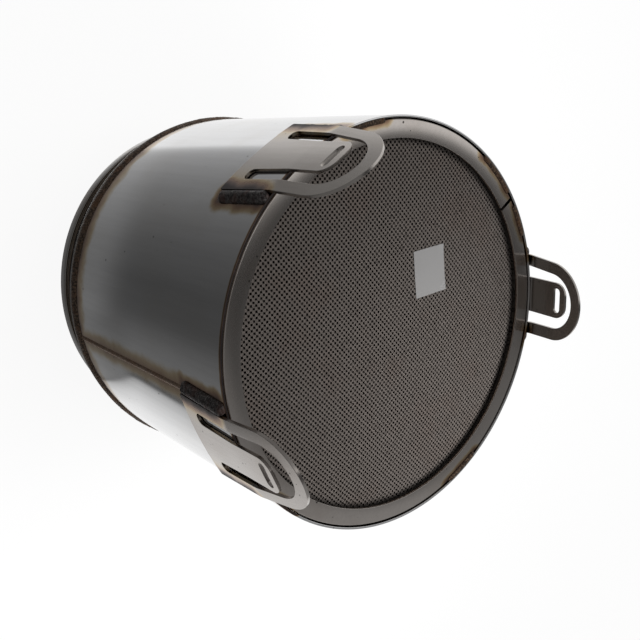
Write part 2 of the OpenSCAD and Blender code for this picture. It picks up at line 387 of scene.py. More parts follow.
@dataclass(frozen=True)
class SteelFinish(Finish):
    """Stainless sheet with rolling lines, smudges, spatter, heat tint and lines of painted shade."""

    colour: Triple
    cloud: Triple
    cloud_share: float
    roughness: float
    spread: float
    stretch: Triple
    line_depth: float
    wave_depth: float
    spatter: float
    welds: tuple[WeldLine, ...]

    def paint(self, g: Graph, effects: SurfaceEffects) -> None:
        """Lays the sheet's nodes.

        Args:
            g: The material's graph.
            effects: The shared shader groups.
        """
        place = g.place()
        grain = g.group(effects.grain, Stretch=self.stretch)
        line, smudge = grain["Line"], grain["Smudge"]
        ragged = g.about(g.noise(place, 60.0), 0.7)
        # The welds' heat and the lines of painted shade darken the steel alike through the heat tint
        heat: object = 0.0
        for weld in self.welds:
            heat = g.math("MAXIMUM", heat, weld.heat(g, effects, ragged))
        colour = g.mix(g.span(smudge, 0.42, 0.72, to_high=self.cloud_share), self.colour, self.cloud)
        worn = tuple(0.72 * c for c in self.colour)
        colour = g.mix(g.span(line, 0.35, 0.7, to_high=0.16), colour, worn)
        tint = g.group(effects.heat_tint, Steel=colour, Heat=heat)
        specks = g.group(effects.specks, Scale=330.0, Size=0.2, Amount=self.spatter)
        colour = g.mix(g.math("MULTIPLY", specks["Mask"], 0.85), tint["Color"], (0.03, 0.024, 0.02))
        rough = g.math("ADD", g.about(smudge, 2.0 * self.spread), g.about(line, self.spread))
        rough = g.math("ADD", rough, self.roughness)
        rough = g.math("ADD", rough, g.math("MULTIPLY", tint["Dull"], 0.32), clamp=True)
        lines = g.bump(line, 0.6, self.line_depth)
        waves = g.bump(g.noise(place, 14.0, 1.0), 1.0, self.wave_depth, Normal=lines)
        g.surface({"Base Color": colour, "Metallic": 1.0, "Roughness": rough, "Normal": waves})


@dataclass(frozen=True)
class WeldFinish(Finish):
    """Weld metal under a skin of scale, patchily bare, with a painted highlight on the ripple crests,
    painted shade in the valleys and rusty stains.
    """

    crest: Triple
    valley: Triple
    stain: Triple
    stain_share: float = 0.5
    roughness: float = 0.42

    def paint(self, g: Graph, effects: SurfaceEffects) -> None:
        """Lays the bead's nodes, which read its own ripple attribute.

        Args:
            g: The material's graph.
            effects: The shared shader groups.
        """
        place = g.place()
        ripple = g.add("ShaderNodeAttribute", attribute_name="ripple").outputs["Fac"]
        scale, blotch = g.noise(place, 650.0, 4.0, 0.65), g.noise(place, 130.0, 3.0, 0.6)
        bare_and_crest_light = g.span(scale, 0.4, 0.62, to_low=0.05)
        # Painted highlight and shade: the ripple crests get more of the pale colour than the valleys
        bare_and_crest_light = g.math("MULTIPLY", g.span(ripple, 0.25, 1.0, to_low=0.45), bare_and_crest_light)
        colour = g.mix(bare_and_crest_light, self.valley, self.crest)
        colour = g.mix(g.span(blotch, 0.45, 0.68, to_high=self.stain_share), colour, self.stain)
        specks = g.group(effects.specks, Scale=620.0, Size=0.26, Amount=0.2)
        colour = g.mix(g.math("MULTIPLY", specks["Mask"], 0.6), colour, (0.012, 0.01, 0.009))
        rough = g.math("ADD", self.roughness, g.math("MULTIPLY", blotch, 0.25))
        rise = g.bump(scale, 0.8, 0.4)
        g.surface({"Base Color": colour, "Metallic": 0.75, "Roughness": rough, "Normal": rise})


@dataclass(frozen=True)
class CeramicFinish(Finish):
    """Porous fired ceramic with soot specks, painted shade inside its cells and a painted shadow of the
    ring near its rim.
    """

    face_z: float
    way: int
    web: Triple = (0.128, 0.112, 0.102)
    plug: Triple = (0.090, 0.078, 0.070)
    patch: Triple = (0.104, 0.082, 0.071)
    soot_and_shade: Triple = (0.006, 0.005, 0.0045)
    rim_shade_start: float = 117.0
    rim_shade_end: float = 121.5
    cell_shade_start: float = 0.15
    cell_shade_end: float = 1.1

    def paint(self, g: Graph, effects: SurfaceEffects) -> None:
        """Lays the ceramic's nodes, with painted shade below the end face and near the rim.

        Args:
            g: The material's graph.
            effects: The shared shader groups.
        """
        place = g.place()
        pores = g.noise(place, 2400.0, 3.0, 0.65)
        colour = g.mix(g.span(pores, 0.35, 0.68), self.plug, self.web)
        colour = g.mix(g.span(g.noise(place, 26.0, 4.0), 0.48, 0.72, to_high=0.5), colour, self.patch)
        specks = g.group(effects.specks, Scale=230.0, Size=0.3, Amount=0.12)
        colour = g.mix(g.math("MULTIPLY", specks["Mask"], 0.25), colour, self.soot_and_shade)
        x, y, z = g.split(place)
        # Painted shadow of the ring on the brick's rim
        rim = g.span(g.length(x, y), self.rim_shade_start * MM, self.rim_shade_end * MM, to_high=0.8)
        colour = g.mix(rim, colour, self.soot_and_shade)
        # Painted shade: darker the deeper a point lies in the cells
        depth = g.math("MULTIPLY", g.math("SUBTRACT", self.face_z * MM, z), float(self.way))
        colour = g.mix(g.span(depth, self.cell_shade_start * MM, self.cell_shade_end * MM), colour, self.soot_and_shade)
        rise = g.bump(pores, 0.4, 0.12)
        g.surface({"Base Color": colour, "Roughness": 0.9, "Specular IOR Level": 0.25, "Normal": rise})


@dataclass(frozen=True)
class FibreFinish(Finish):
    """Felted or knitted filler: short crossing lines over a plain colour."""

    light: Triple
    dark: Triple
    scale: float
    roughness: float
    metallic: float
    depth: float

    def paint(self, g: Graph, effects: SurfaceEffects) -> None:
        """Lays the filler's nodes.

        Args:
            g: The material's graph.
            effects: The shared shader groups, which it doesn't need.
        """
        place = g.place()
        knit: object = 0.0
        for share, way in ((1.0, (1.0, 1.0, 0.35)), (1.0, (1.0, -1.0, 0.35)), (0.8, (0.3, 0.4, 1.0))):
            inputs = {"Vector": g.scaled(place, way), "Scale": self.scale, "Distortion": 6.0, "Detail": 2.0}
            strand = g.add("ShaderNodeTexWave", inputs, wave_type="BANDS").outputs["Fac"]
            knit = g.math("MAXIMUM", knit, g.math("MULTIPLY", strand, share))
        colour = g.mix(g.span(knit, 0.3, 0.95), self.dark, self.light)
        g.surface({"Base Color": colour, "Metallic": self.metallic, "Roughness": self.roughness,
                   "Normal": g.bump(knit, 0.9, self.depth)})


@dataclass(frozen=True)
class PaperFinish(Finish):
    """Plain label paper, a little yellowed and smudged."""

    colour: Triple
    smudge: Triple

    def paint(self, g: Graph, effects: SurfaceEffects) -> None:
        """Lays the paper's nodes.

        Args:
            g: The material's graph.
            effects: The shared shader groups.
        """
        grain = g.group(effects.grain, Stretch=(900.0, 1500.0, 900.0))
        colour = g.mix(g.span(grain["Smudge"], 0.45, 0.75, to_high=0.6), self.colour, self.smudge)
        rise = g.bump(grain["Line"], 0.25, 0.05)
        g.surface({"Base Color": colour, "Roughness": 0.6, "Normal": rise})


@dataclass(frozen=True)
class FloorFinish(Finish):
    """Pale paint that glows enough to look white and still takes a faint shadow."""

    colour: Triple
    glow: float
    glow_share: float

    def paint(self, g: Graph, effects: SurfaceEffects) -> None:
        """Lays the floor's nodes.

        Args:
            g: The material's graph.
            effects: The shared shader groups, which it doesn't need.
        """
        paint = g.add("ShaderNodeBsdfDiffuse", {"Color": (*self.colour, 1.0)})
        white = g.add("ShaderNodeEmission", {"Strength": self.glow})
        seen = g.add("ShaderNodeMixShader", {0: self.glow_share, 1: paint.outputs[0], 2: white.outputs[0]})
        g.add("ShaderNodeOutputMaterial", {"Surface": seen.outputs[0]})


def link_object(name: str, data: bpy.types.ID) -> Piece:
    """Puts a mesh, curve, camera or lamp into the scene as an object at the origin.

    Args:
        name: The object's name.
        data: What it shows.

    Returns:
        The object.
    """
    piece = bpy.data.objects.new(name, data)
    bpy.context.scene.collection.objects.link(piece)
    return piece


def finished_mesh(piece: Piece) -> Mesh:
    """Returns a plain mesh of an object as its curve or its modifiers leave it."""
    graph = bpy.context.evaluated_depsgraph_get()
    return bpy.data.meshes.new_from_object(piece.evaluated_get(graph), depsgraph=graph)


def close_mesh(work: bmesh.types.BMesh, mesh: Mesh, sharp: float) -> None:
    """Writes a closed mesh with its faces outwards and smooth.

    Args:
        work: The mesh being edited, which is freed.
        mesh: The mesh to write to.
        sharp: Angle in degrees past which an edge stays sharp.
    """
    bmesh.ops.recalc_face_normals(work, faces=work.faces)
    work.to_mesh(mesh)
    work.free()
    mesh.shade_smooth()
    mesh.set_sharp_from_angle(angle=math.radians(sharp))


def solid_piece(name: str, points: Iterable[Sequence[float]], faces: Iterable[Sequence[int]],
                sharp: float = 32.0) -> Piece:
    """Makes a closed piece from points in millimetres.

    Args:
        name: The piece's name.
        points: Corner points.
        faces: Corner numbers of each face.
        sharp: Angle in degrees past which an edge stays sharp.

    Returns:
        The piece.
    """
    mesh = bpy.data.meshes.new(name)
    mesh.from_pydata([[MM * c for c in p] for p in points], [], [list(f) for f in faces])
    work = bmesh.new()
    work.from_mesh(mesh)
    close_mesh(work, mesh, sharp)
    return link_object(name, mesh)


def axes_at(angle: float) -> tuple[Vector, Vector]:
    """Returns the directions out from the axis and round it, at an angle in degrees."""
    a = math.radians(angle)
    return Vector((math.cos(a), math.sin(a), 0.0)), Vector((-math.sin(a), math.cos(a), 0.0))


def frame_at(origin: Vector, first: Vector, second: Vector, third: Vector) -> Matrix:
    """Returns the matrix whose columns are three axes and an origin."""
    return Matrix.Translation(origin) @ Matrix((first, second, third)).transposed().to_4x4()


def arc(centre: Point, radius: float, start: float, end: float, steps: int) -> list[Point]:
    """Returns points on an arc, from one angle in degrees to another."""
    angles = (math.radians(start + (end - start) * k / steps) for k in range(steps + 1))
    return [(centre[0] + radius * math.cos(a), centre[1] + radius * math.sin(a)) for a in angles]


def rounded(corners: Sequence[Triple], steps: int = 5) -> list[Point]:
    """Rounds the corners of a closed outline.

    Args:
        corners: Across, along and radius of each corner, in order.
        steps: Segments of a rounded corner.

    Returns:
        The outline's points.
    """
    points: list[Point] = []
    for n, (x, y, radius) in enumerate(corners):
        if radius <= 0.0:
            points.append((x, y))
            continue
        here = Vector((x, y))
        back = (Vector(corners[n - 1][:2]) - here).normalized()
        ahead = (Vector(corners[(n + 1) % len(corners)][:2]) - here).normalized()
        half = back.angle(ahead) / 2.0
        reach = radius / math.tan(half)
        centre = here + (back + ahead).normalized() * (radius / math.sin(half))
        first, last = here + back * reach - centre, here + ahead * reach - centre
        for k in range(steps + 1):
            ray = first.normalized().slerp(last.normalized(), k / steps) * radius
            points.append((centre.x + ray.x, centre.y + ray.y))
    return points


def sweep_faces(count: int, steps: int, closed: bool) -> list[Sequence[int]]:
    """Joins the rings of a swept section.

    Args:
        count: Points of the section.
        steps: Segments along the sweep.
        closed: True if it runs into its own start, or else its ends are capped.

    Returns:
        Corner numbers of each face.
    """
    rings = steps if closed else steps + 1
    faces: list[Sequence[int]] = []
    for k in range(steps):
        a, b = k * count, ((k + 1) % rings) * count
        faces += [(a + n, b + n, b + (n + 1) % count, a + (n + 1) % count) for n in range(count)]
    if not closed:
        faces += [range(count), [steps * count + n for n in reversed(range(count))]]
    return faces


def lathe(name: str, section: Sequence[Point], steps: int, start: float = 0.0,
          sweep: float = 360.0) -> Piece:
    """Turns a closed section about the axis.

    Args:
        name: The piece's name.
        section: Radius and height of each point.
        steps: Segments round the turn.
        start: Angle where the turn starts, in degrees.
        sweep: Angle that it covers, where less than 360 leaves capped ends.

    Returns:
        The piece.
    """
    whole = sweep >= 360.0
    points = []
    for k in range(steps if whole else steps + 1):
        a = math.radians(start + sweep * k / steps)
        points += [(r * math.cos(a), r * math.sin(a), z) for r, z in section]
    return solid_piece(name, points, sweep_faces(len(section), steps, whole))


def bake_nodes(piece: Piece, tree: Tree, values: dict[str, object]) -> Piece:
    """Runs a Geometry Nodes tree on a piece and keeps the result as a plain mesh.

    Args:
        piece: The piece that the tree starts from.
        tree: The tree.
        values: Inputs by name.

    Returns:
        The same piece with the finished mesh and no modifier.
    """
    modifier = piece.modifiers.new(tree.name, "NODES")
    modifier.node_group = tree
    sockets = {s.name: s.identifier for s in tree.interface.items_tree if s.in_out == "INPUT"}
    for key, value in values.items():
        modifier[sockets[key]] = value
    piece.update_tag()
    made = finished_mesh(piece)
    piece.modifiers.remove(modifier)
    old, piece.data = piece.data, made
    bpy.data.meshes.remove(old)
    made.name = piece.name
    return piece


def new_geometry_tree(name: str, inputs: dict[str, str]) -> tuple[Graph, dict, dict]:
    """Makes a Geometry Nodes tree from a geometry to a geometry, with more inputs and a material."""
    inputs = {"Geometry": GEOMETRY, **inputs, "Material": MATERIAL}
    return new_group(name, inputs, {"Geometry": GEOMETRY}, "GeometryNodeTree")


def finish_tree(g: Graph, geometry: Socket, material: Socket, sink: Socket) -> None:
    """Ends a tree in Realize Instances and Set Material.

    Args:
        g: The tree's graph.
        geometry: What the tree has made.
        material: The material's input.
        sink: The tree's output.
    """
    real = g.add("GeometryNodeRealizeInstances", {0: geometry})
    dress = g.add("GeometryNodeSetMaterial", {"Geometry": real.outputs[0], "Material": material})
    g.feed(sink, dress.outputs[0])


def ripple_tree() -> Tree:
    """Geometry Nodes that raise weld ripples on a swept bead.

    Returns:
        The tree. It reads the bead's along, across, crown and lift attributes and stores ripple.
    """
    names = ("Pitch", "Depth", "Bow", "Lump", "Seed")
    g, i, o = new_geometry_tree("weld ripples", dict.fromkeys(names, NUMBER))

    def read(name: str, kind: str = "FLOAT") -> Socket:
        """Adds a node that reads one attribute of the bead."""
        node = g.add("GeometryNodeInputNamedAttribute", {"Name": name}, data_type=kind)
        return next(s for s in node.outputs if s.enabled and s.name == "Attribute")

    across = read("across")
    place = g.add("GeometryNodeInputPosition").outputs[0]
    wander = g.add("ShaderNodeTexNoise", {"Vector": place, "W": i["Seed"], "Scale": 210.0, "Detail": 3.0},
                   noise_dimensions="4D").outputs[0]
    bow = g.math("MULTIPLY", i["Bow"], g.math("MULTIPLY", across, across))
    phase = g.math("ADD", g.math("DIVIDE", read("along"), i["Pitch"]), bow)
    phase = g.math("ADD", phase, g.about(wander, 3.2))
    ripple = g.math("ABSOLUTE", g.math("SINE", g.math("MULTIPLY", phase, math.pi)))
    rise = g.math("MULTIPLY", g.math("SUBTRACT", ripple, 0.6), i["Depth"])
    rise = g.math("MULTIPLY", g.math("ADD", rise, g.about(wander, i["Lump"])), read("crown"))
    lift = {0: read("lift", "FLOAT_VECTOR"), "Scale": rise}
    offset = g.add("ShaderNodeVectorMath", lift, operation="SCALE").outputs[0]
    move = g.add("GeometryNodeSetPosition", {"Geometry": i["Geometry"], "Offset": offset})
    store = g.add("GeometryNodeStoreNamedAttribute", {"Geometry": move.outputs[0], "Name": "ripple"},
                  data_type="FLOAT", domain="POINT")
    g.feed(next(s for s in store.inputs if s.enabled and s.name == "Value"), ripple)
    finish_tree(g, store.outputs[0], i["Material"], o["Geometry"])
    return g.tree


def cell_tree() -> Tree:
    """Geometry Nodes that lay one cell tile over a round end face.

    Returns:
        The tree. Rows and Pitch set the grid of tiles, Turn and Shift its place, and Radius its rim.
    """
    g, i, o = new_geometry_tree("cell field", {
        "Rows": "NodeSocketInt", "Pitch": NUMBER, "Turn": NUMBER, "Shift": VECTOR, "Radius": NUMBER})
    rows, side = i["Rows"], g.math("MULTIPLY", g.math("SUBTRACT", i["Rows"], 1.0), i["Pitch"])
    grid = g.add("GeometryNodeMeshGrid", {
        "Size X": side, "Size Y": side, "Vertices X": rows, "Vertices Y": rows}).outputs["Mesh"]
    turn = g.join(0.0, 0.0, g.math("ADD", i["Turn"], math.pi / 4.0))
    lay = g.add("GeometryNodeTransform", {"Geometry": grid, "Translation": i["Shift"], "Rotation": turn})
    x, y, _ = g.split(g.add("GeometryNodeInputPosition").outputs[0])
    outside = g.math("GREATER_THAN", g.length(x, y), i["Radius"])
    trim = g.add("GeometryNodeDeleteGeometry", {"Geometry": lay.outputs[0], "Selection": outside},
                 domain="POINT")
    tiles = g.add("GeometryNodeInstanceOnPoints", {
        "Points": trim.outputs[0], "Instance": i["Geometry"], "Rotation": g.join(0.0, 0.0, i["Turn"])})
    finish_tree(g, tiles.outputs[0], i["Material"], o["Geometry"])
    return g.tree


@dataclass(frozen=True)
class SectionPoint:
    """A point of a bead's section: its place, the way ripples lift it, and how far they do."""

    a: float
    b: float
    lift: Point
    crown: float
    across: float


def cap_section(low: float, high: float, width: float, height: float, sink: float,
                steps: int = 10) -> list[SectionPoint]:
    """Section of a crowned bead on a surface.

    Args:
        low: Where the bead starts across, from the crown's middle.
        high: Where it ends.
        width: Width of the whole crown.
        height: Height of the crown.
        sink: Depth that the bead's underside lies below the surface.
        steps: Segments over the crown.

    Returns:
        The section's points, all round.
    """
    up = (0.0, 1.0)
    points = []
    for k in range(steps + 1):
        a = low + (high - low) * k / steps
        u = 2.0 * a / width
        points.append(SectionPoint(a, height * (1.0 - u * u), up, max(1.0 - u ** 4, 0.0), u))
    return points + [SectionPoint(high, -sink, up, 0.0, 1.0), SectionPoint(low, -sink, up, 0.0, -1.0)]


def fillet_section(radius: float, start: float, end: float, steps: int = 10) -> list[SectionPoint]:
    """Section of a round bead in a corner.

    Args:
        radius: The bead's radius about its middle.
        start: Angle where its round face starts, in degrees.
        end: Angle where it ends.
        steps: Segments over the face.

    Returns:
        The section's points, all round.
    """
    points = []
    for k, ray in enumerate(arc((0.0, 0.0), 1.0, start, end, steps)):
        u = 2.0 * k / steps - 1.0
        points.append(SectionPoint(radius * ray[0], radius * ray[1], ray, 1.0 - u ** 6, u))
    return points + [SectionPoint(0.0, 0.0, (1.0, 0.0), 0.0, 0.0)]


@dataclass
class Bead:
    """A weld bead: a section swept along a line of places, then rippled."""

    name: str
    node: str
    finish: WeldFinish
    section: list[SectionPoint]
    place: Callable[[float], Matrix]
    length: float
    pitch: float
    depth: float
    lump: float
    seed: float
    closed: bool = False
    taper: float = 3.0
    bow: float = 0.55
    narrow: float = 0.55
    end_size: float = 0.02
    sharp: float = 75.0
    ripple_steps: float = 6.0
    least_steps: int = 12

    def build(self, tree: Tree, material: Material) -> Piece:
        """Makes the bead.

        Args:
            tree: The ripple tree.
            material: The bead's material.

        Returns:
            The piece.
        """
        steps = max(int(self.length / self.pitch * self.ripple_steps), self.least_steps)
        points, along, across, crown, lift = [], [], [], [], []
        for k in range(steps if self.closed else steps + 1):
            s = k / steps
            at = self.place(s)
            ends = min(s, 1.0 - s) * self.length / self.taper + self.end_size
            ends = 1.0 if self.closed else min(1.0, ends)
            size = math.sqrt(max(1.0 - (1.0 - ends) ** 2, 0.0))
            wide = self.narrow + (1.0 - self.narrow) * size
            for p in self.section:
                points.append(at @ Vector((p.a * wide, p.b * size if p.b > 0 else p.b, 0.0)))
                along.append(s * self.length * MM)
                across.append(p.across)
                crown.append(p.crown * size)
                lift.extend(at.to_3x3() @ Vector((*p.lift, 0.0)))
        faces = sweep_faces(len(self.section), steps, self.closed)
        piece = solid_piece(self.name, points, faces, self.sharp)
        for name, values in (("along", along), ("across", across), ("crown", crown)):
            piece.data.attributes.new(name, "FLOAT", "POINT").data.foreach_set("value", values)
        piece.data.attributes.new("lift", "FLOAT_VECTOR", "POINT").data.foreach_set("vector", lift)
        return bake_nodes(piece, tree, {
            "Pitch": self.pitch * MM, "Depth": self.depth * MM, "Bow": self.bow, "Lump": self.lump * MM,
            "Seed": self.seed, "Material": material})


@dataclass
class Workshop:
    """What every sub-assembly needs to dress its pieces."""

    effects: SurfaceEffects = field(default_factory=SurfaceEffects)
    ripples: Tree = field(default_factory=ripple_tree)
    cells: Tree = field(default_factory=cell_tree)

    def material(self, finish: Finish) -> Material:
        """Returns a finish's material, made the first time it is asked for."""
        return bpy.data.materials.get(finish.name) or finish.material(self.effects)

    def dress(self, piece: Piece, finish: Finish, slot: Slot, *nodes: str) -> None:
        """Gives a piece its material and ties it to the frame.

        Args:
            piece: The piece.
            finish: Its finish.
            slot: A material slot name, which is not used.
            nodes: CAD nodes that it stands for.
        """
        piece.data.materials.clear()
        piece.data.materials.append(self.material(finish))
        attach(piece, "root")
        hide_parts(*nodes)
        LOG.info("%s: %d faces for %s", piece.name, len(piece.data.polygons), ", ".join(nodes))

    def weld(self, bead: Bead) -> None:
        """Builds one bead and ties it to the frame."""
        piece = bead.build(self.ripples, self.material(bead.finish))
        self.dress(piece, bead.finish, Slot.WELD, bead.node)


# Lines of heat, and lines of painted shade
TAB_HEAT = tuple(
    WeldLine(reach=12.0, angle=d, offset=TAB_EDGE + 1.0, half=1.0, start=FRONT_Z - TAB_BACK,
             end=FRONT_Z - 7.0, strength=0.9)
    for d in TAB_DIRECTIONS)
# A faint tint over the tab arms: partly heat haze, partly painted shade that darkens the arms
PLATE_TINT_AND_SHADE = tuple(
    WeldLine(reach=20.0, angle=d, offset=TAB_EDGE, half=1.0, start=FRONT_Z - TAB_BACK,
             end=FRONT_Z - 14.0, strength=0.34)
    for d in TAB_DIRECTIONS)
STITCH_HEAT = tuple(
    WeldLine(reach=9.0, angle=(a + b) / 2.0, half=SHELL_R * math.radians(b - a) / 2.0, radius=SHELL_R,
             radial=True)
    for a, b in STITCHES)
SEAM_HEAT = WeldLine(
    reach=11.0, angle=SEAM_ANGLE, half=1.9, start=FLANGE_Z, end=FRONT_Z - TAB_BACK, strength=0.45)
REAR_HEAT = WeldLine(reach=20.0, start=FLANGE_Z, end=FLANGE_Z + 4.0, half=FAR, around=True, strength=0.72)
# Painted shadow: a dark line on the shell's front edge on the left, where the gap to the ring lies in shade
EDGE_SHADE = WeldLine(
    reach=1.7, angle=168.0, half=116.0, start=FRONT_Z - 0.3, radius=SHELL_R - 0.8, radial=True)
# Painted shade: darkens the ring's bore wall just under its face, where the shadow band between ring and
# brick falls
BORE_SHADE = WeldLine(reach=0.7, end=251.3, half=FAR, around=True)
# Painted shade: darkens the collar's neck between lip and flange, where the groove lies in shadow
NECK_SHADE = WeldLine(reach=4.0, start=14.0, end=37.0, half=FAR, around=True)

SHELL_STEEL = SteelFinish(
    "satin_shell_steel", (0.70, 0.70, 0.705), (0.62, 0.60, 0.57), cloud_share=0.3, roughness=0.105,
    spread=0.025, stretch=(260.0, 260.0, 14.0), line_depth=0.004, wave_depth=0.05, spatter=0.02,
    welds=(REAR_HEAT, SEAM_HEAT, EDGE_SHADE, *TAB_HEAT))
COLLAR_STEEL = SteelFinish(
    "drawn_collar_steel", (0.42, 0.405, 0.39), (0.28, 0.24, 0.21), cloud_share=0.5, roughness=0.22,
    spread=0.05, stretch=(60.0, 60.0, 700.0), line_depth=0.006, wave_depth=0.05, spatter=0.05,
    welds=(NECK_SHADE,))
RING_STEEL = SteelFinish(
    "pressed_ring_steel", (0.54, 0.5, 0.47), (0.40, 0.34, 0.295), cloud_share=0.5, roughness=0.17,
    spread=0.03, stretch=(420.0, 420.0, 420.0), line_depth=0.008, wave_depth=0.06, spatter=0.04,
    welds=(BORE_SHADE, *STITCH_HEAT))
TAB_STEEL = SteelFinish(
    "stamped_tab_steel", (0.43, 0.4, 0.375), (0.36, 0.315, 0.28), cloud_share=0.5, roughness=0.2,
    spread=0.04, stretch=(420.0, 420.0, 22.0), line_depth=0.006, wave_depth=0.05, spatter=0.03,
    welds=(*TAB_HEAT, *PLATE_TINT_AND_SHADE))
REAR_WELD = WeldFinish(
    "rear_weld_scale", (0.25, 0.175, 0.125), (0.05, 0.036, 0.029), (0.23, 0.12, 0.065), stain_share=0.55)
SEAM_WELD = WeldFinish("seam_weld_scale", (0.33, 0.235, 0.165), (0.16, 0.1, 0.07), (0.24, 0.13, 0.075))
TAB_WELD = WeldFinish("tab_weld_scale", (0.2, 0.185, 0.18), (0.03, 0.026, 0.026), (0.13, 0.065, 0.05))
STITCH_WELD = WeldFinish(
    "stitch_weld_scale", (0.16, 0.11, 0.075), (0.03, 0.022, 0.018), (0.15, 0.075, 0.04))
MAT_FIBRE = FibreFinish(
    "support_mat_fibre", (0.72, 0.70, 0.64), (0.42, 0.39, 0.34), scale=420.0, roughness=0.95,
    metallic=0.0, depth=0.3)
SEAL_WIRE = FibreFinish(
    "knitted_seal_wire", (0.12, 0.108, 0.098), (0.012, 0.011, 0.01), scale=520.0, roughness=0.45,
    metallic=0.9, depth=0.5)
LABEL_PAPER = PaperFinish("blank_label_paper", (0.235, 0.231, 0.229), (0.2, 0.195, 0.19))
FLOOR_PAINT = FloorFinish("pale_floor", (0.86, 0.86, 0.86), glow=1.2, glow_share=0.76)


@dataclass
class Can:
    """The rolled shell, its seam and the drawn rear collar with its weld."""

    shop: Workshop
    inner_r: float = 133.5
    edge_r: float = 0.4
    neck_ir: float = 123.75
    sheet: float = 2.25
    neck_z: float = 40.0
    neck_bend: float = 1.6
    rim_r: float = 136.25
    rim_edge: float = 1.0
    hem_z: float = 9.5
    hem_edge: float = 0.7
    fold_r: float = 1.1
    slit_w: float = 0.15
    slit_foot: float = 0.1
    slit_depth: float = 0.9
    bead_low: float = 3.25
    bead_high: float = 4.75
    bead_w: float = 9.5
    bead_h: float = 1.8
    bead_sink: float = 0.3
    seam_half: float = 1.9
    seam_h: float = 0.62
    seam_sink: float = 0.2
    seam_length: float = 155.0
    seam_z: float = FLANGE_Z + 7.5
    seam_rise: float = 155.25
    segments: int = 360

    def shell(self) -> None:
        """Turns the shell, with its front edge broken."""
        outline = rounded([(self.inner_r, FLANGE_Z, 0.0), (SHELL_R, FLANGE_Z, 0.0),
                           (SHELL_R, FRONT_Z, self.edge_r), (self.inner_r, FRONT_Z, self.edge_r)])
        piece = lathe("shell_sheet", outline, self.segments)
        self.shop.dress(piece, SHELL_STEEL, Slot.SHELL, "outer_shell")

    def collar(self) -> None:
        """Turns the collar: hemmed lip, neck and flange."""
        neck_r, lip_r = self.neck_ir + self.sheet, self.neck_ir + 2.0 * self.sheet
        slit_z = self.hem_z - self.slit_depth
        outline = rounded([
            (self.neck_ir, 0.0, self.fold_r), (lip_r, 0.0, self.fold_r), (lip_r, self.hem_z, self.hem_edge),
            (neck_r + self.slit_w, self.hem_z, 0.0), (neck_r + self.slit_foot, slit_z, 0.0),
            (neck_r, slit_z, 0.0), (neck_r, self.neck_z, self.neck_bend),
            (self.rim_r, self.neck_z, self.rim_edge), (self.rim_r, FLANGE_Z, self.rim_edge),
            (self.neck_ir, FLANGE_Z, self.rim_edge)])
        piece = lathe("collar_sheet", outline, self.segments)
        self.shop.dress(piece, COLLAR_STEEL, Slot.COLLAR, "rear_collar")

    def welds(self) -> None:
        """Lays the weld round the flange and the seam up the shell."""
        def round_flange(s: float) -> Matrix:
            """Place on the flange's corner, with the section's first axis along the can."""
            out, turn = axes_at(360.0 * s)
            return frame_at(out * SHELL_R + UP * (FLANGE_Z + self.bead_low), UP, out, turn)

        def up_seam(s: float) -> Matrix:
            """Place on the seam's line, with the section's first axis round the shell."""
            out, turn = axes_at(SEAM_ANGLE)
            return frame_at(out * SHELL_R + UP * (self.seam_z + self.seam_rise * s), turn, out, UP)

        ring = cap_section(-self.bead_low, self.bead_high, self.bead_w, self.bead_h, self.bead_sink)
        self.shop.weld(Bead(
            "rear_weld_bead", "rear_collar_weld", REAR_WELD, ring, round_flange, 2.0 * math.pi * SHELL_R,
            pitch=2.0, depth=0.26, lump=0.9, seed=3.0, closed=True))
        half = self.seam_half
        line = cap_section(-half, half, 2.0 * half, self.seam_h, self.seam_sink)
        self.shop.weld(Bead(
            "seam_weld_bead", "shell_seam_weld", SEAM_WELD, line, up_seam, self.seam_length,
            pitch=1.5, depth=0.12, lump=0.25, seed=8.0))

    def build(self) -> None:
        """Makes all pieces of the can."""
        for step in (self.shell, self.collar, self.welds):
            step()


@dataclass
class FrontRing:
    """The pressed split ring that holds the brick, and the stitch welds that hold the ring."""

    shop: Workshop
    bore_r: float = 121.1
    bore_edge: float = 0.25
    outer_r: float = 132.7
    outer_edge: float = 1.0
    under_edge: float = 0.3
    sheet: float = 2.5
    skirt: float = 6.5
    face_z: float = 253.2
    split_w: float = 2.5
    split_r: float = 127.0
    split_angle: float = 33.5
    stitch_r: float = 132.5
    stitch_z: float = 253.35
    stitch_half: float = 1.9
    stitch_w: float = 4.0
    stitch_h: float = 1.2
    stitch_sink: float = 1.6
    segments: int = 360

    def ring(self) -> None:
        """Turns the ring from one side of its split to the other."""
        under, inside = self.face_z - self.sheet, self.outer_r - self.sheet
        foot = under - self.skirt
        outline = rounded([
            (self.bore_r, under, self.under_edge), (inside, under, 0.0),
            (inside, foot, self.under_edge), (self.outer_r, foot, self.under_edge),
            (self.outer_r, self.face_z, self.outer_edge), (self.bore_r, self.face_z, self.bore_edge)], 8)
        gap = math.degrees(self.split_w / self.split_r)
        piece = lathe("ring_plate", outline, self.segments, self.split_angle + gap / 2.0, 360.0 - gap)
        self.shop.dress(piece, RING_STEEL, Slot.RING, "front_ring")

    def stitches(self) -> None:
        """Lays a short bead in the groove between ring and shell at each stitch."""
        section = cap_section(
            -self.stitch_half, self.stitch_half, self.stitch_w, self.stitch_h, self.stitch_sink)
        for n, (start, end) in enumerate(STITCHES, 1):
            def on_groove(s: float, start: float = start, end: float = end) -> Matrix:
                """Place in the groove, with the section's first axis outwards."""
                out, turn = axes_at(start + (end - start) * s)
                return frame_at(out * self.stitch_r + UP * self.stitch_z, out, UP, turn)

            self.shop.weld(Bead(
                f"stitch_bead_{n}", f"ring_weld_{n}", STITCH_WELD, section, on_groove,
                self.stitch_r * math.radians(end - start), pitch=2.0, depth=0.3, lump=0.8, seed=20.0 + n))

    def build(self) -> None:
        """Makes the ring and its stitches."""
        self.ring()
        self.stitches()


